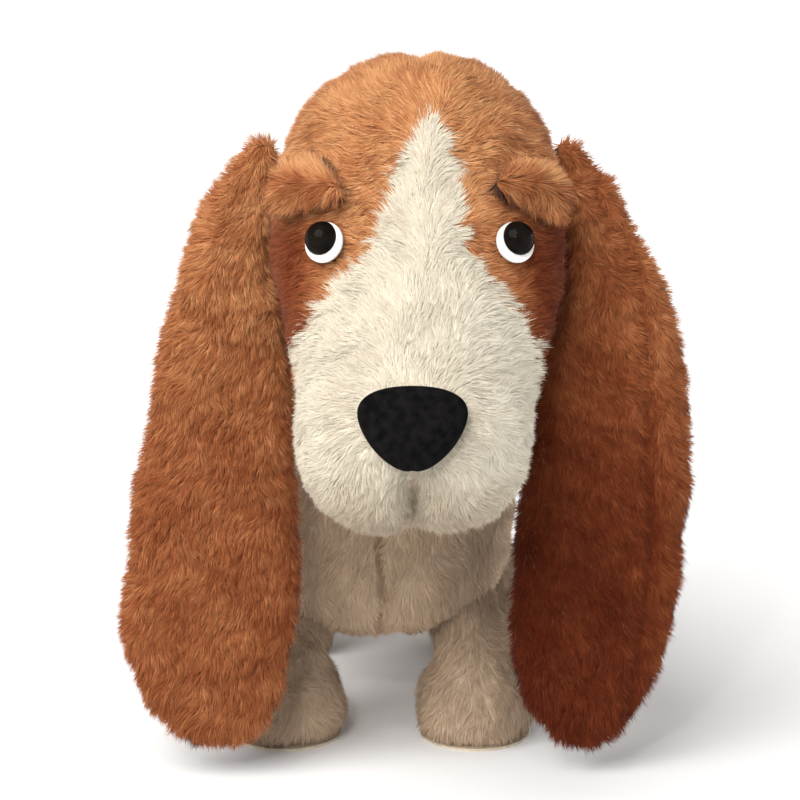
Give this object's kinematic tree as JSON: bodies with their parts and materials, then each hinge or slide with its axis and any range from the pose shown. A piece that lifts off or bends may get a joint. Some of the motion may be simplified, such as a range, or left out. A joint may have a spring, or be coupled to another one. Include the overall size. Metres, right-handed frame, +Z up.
{
  "type": "plush dog",
  "caption": "Stuffed plush hound standing on four short legs, with a large drooping muzzle and long hanging ears.",
  "frame": {"origin": "on the floor, under the middle of the standing toy's bounding box", "axes": "+Z up from the soles, -Y the way the dog faces, +X the dog's own left"},
  "size_m": [0.3216, 0.4978, 0.411],
  "materials": {
    "brown_plush": "matte",
    "cream_plush": "matte",
    "fibre_fill": "matte",
    "nose_velvet": "matte",
    "white_felt": "matte",
    "eye_gloss": "gloss",
    "washer_plastic": "matte"
  },
  "bodies": {
    "torso": {"chest_panel_left": "cream_plush", "chest_panel_right": "cream_plush", "back_panel_left": "brown_plush", "back_panel_right": "brown_plush", "belly_panel": "cream_plush", "torso_stuffing": "fibre_fill"},
    "neck": {"neck_skin": "brown_plush", "neck_stuffing": "fibre_fill"},
    "head": {"head_panel_left": "brown_plush", "head_panel_right": "brown_plush", "nape_panel": "brown_plush", "throat_panel": "cream_plush", "blaze_panel": "cream_plush", "flew_panel_left": "cream_plush", "flew_panel_right": "cream_plush", "head_stuffing": "fibre_fill", "nose_pad": "nose_velvet", "nose_padding": "fibre_fill", "eye_left": "eye_gloss", "eye_right": "eye_gloss", "eye_washer_left": "washer_plastic", "eye_washer_right": "washer_plastic", "eye_felt_left": "white_felt", "eye_felt_right": "white_felt"},
    "brow_left": {"eyebrow_left": "brown_plush"},
    "ear_left": {"ear_front_left": "brown_plush", "ear_back_left": "brown_plush", "ear_batting_left": "fibre_fill"},
    "brow_right": {"eyebrow_right": "brown_plush"},
    "ear_right": {"ear_front_right": "brown_plush", "ear_back_right": "brown_plush", "ear_batting_right": "fibre_fill"},
    "front_leg_left": {"front_leg_skin_left": "cream_plush", "front_leg_stuffing_left": "fibre_fill", "front_sole_left": "cream_plush"},
    "front_leg_right": {"front_leg_skin_right": "cream_plush", "front_leg_stuffing_right": "fibre_fill", "front_sole_right": "cream_plush"},
    "hind_leg_left": {"hind_leg_skin_left": "cream_plush", "hind_leg_stuffing_left": "fibre_fill", "hind_sole_left": "cream_plush"},
    "hind_leg_right": {"hind_leg_skin_right": "cream_plush", "hind_leg_stuffing_right": "fibre_fill", "hind_sole_right": "cream_plush"},
    "tail": {"tail_skin": "brown_plush", "tail_tip": "cream_plush", "tail_stuffing": "fibre_fill"}
  },
  "joints": [
    {"name": "neck_turn", "type": "hinge", "parent": "torso", "child": "neck", "pos_m": [-0.00237, -0.04565, 0.231], "axis": [0, 0, 1], "range_deg": [-6, 6], "stiffness_Nm_per_rad": 2},
    {"name": "head_nod", "type": "hinge", "parent": "neck", "child": "head", "pos_m": [-0.00237, -0.04565, 0.231], "axis": [-1, 0, 0], "range_deg": [0, 15], "stiffness_Nm_per_rad": 1},
    {"name": "ear_left_swing", "type": "hinge", "parent": "head", "child": "ear_left", "pos_m": [0.09263, -0.09965, 0.35395], "axis": [0, -1, 0], "range_deg": [0, 65]},
    {"name": "ear_right_swing", "type": "hinge", "parent": "head", "child": "ear_right", "pos_m": [-0.07537, -0.09965, 0.35395], "axis": [0, 1, 0], "range_deg": [0, 65]},
    {"name": "eyebrow_left_lift", "type": "hinge", "parent": "head", "child": "brow_left", "pos_m": [0.06816, -0.15362, 0.3571], "axis": [-0.8624, -0.4681, 0.1925], "range_deg": [0, 30]},
    {"name": "eyebrow_right_lift", "type": "hinge", "parent": "head", "child": "brow_right", "pos_m": [-0.0509, -0.15362, 0.3571], "axis": [-0.8624, 0.4681, -0.1925], "range_deg": [0, 30]},
    {"name": "front_leg_left_swing", "type": "hinge", "parent": "torso", "child": "front_leg_left", "pos_m": [0.04313, -0.02965, 0.08028], "axis": [1, 0, 0], "range_deg": [0, 18], "stiffness_Nm_per_rad": 6},
    {"name": "front_leg_right_swing", "type": "hinge", "parent": "torso", "child": "front_leg_right", "pos_m": [-0.06987, -0.02965, 0.08028], "axis": [1, 0, 0], "range_deg": [0, 18], "stiffness_Nm_per_rad": 6},
    {"name": "hind_leg_left_swing", "type": "hinge", "parent": "torso", "child": "hind_leg_left", "pos_m": [0.05263, 0.14835, 0.08622], "axis": [1, 0, 0], "range_deg": [-15, 15], "stiffness_Nm_per_rad": 6},
    {"name": "hind_leg_right_swing", "type": "hinge", "parent": "torso", "child": "hind_leg_right", "pos_m": [-0.07937, 0.14835, 0.08622], "axis": [1, 0, 0], "range_deg": [-15, 15], "stiffness_Nm_per_rad": 6},
    {"name": "tail_wag", "type": "hinge", "parent": "torso", "child": "tail", "pos_m": [-0.01337, 0.17285, 0.19016], "axis": [0, 0, 1], "range_deg": [-30, 30], "stiffness_Nm_per_rad": 0.3}
  ]
}
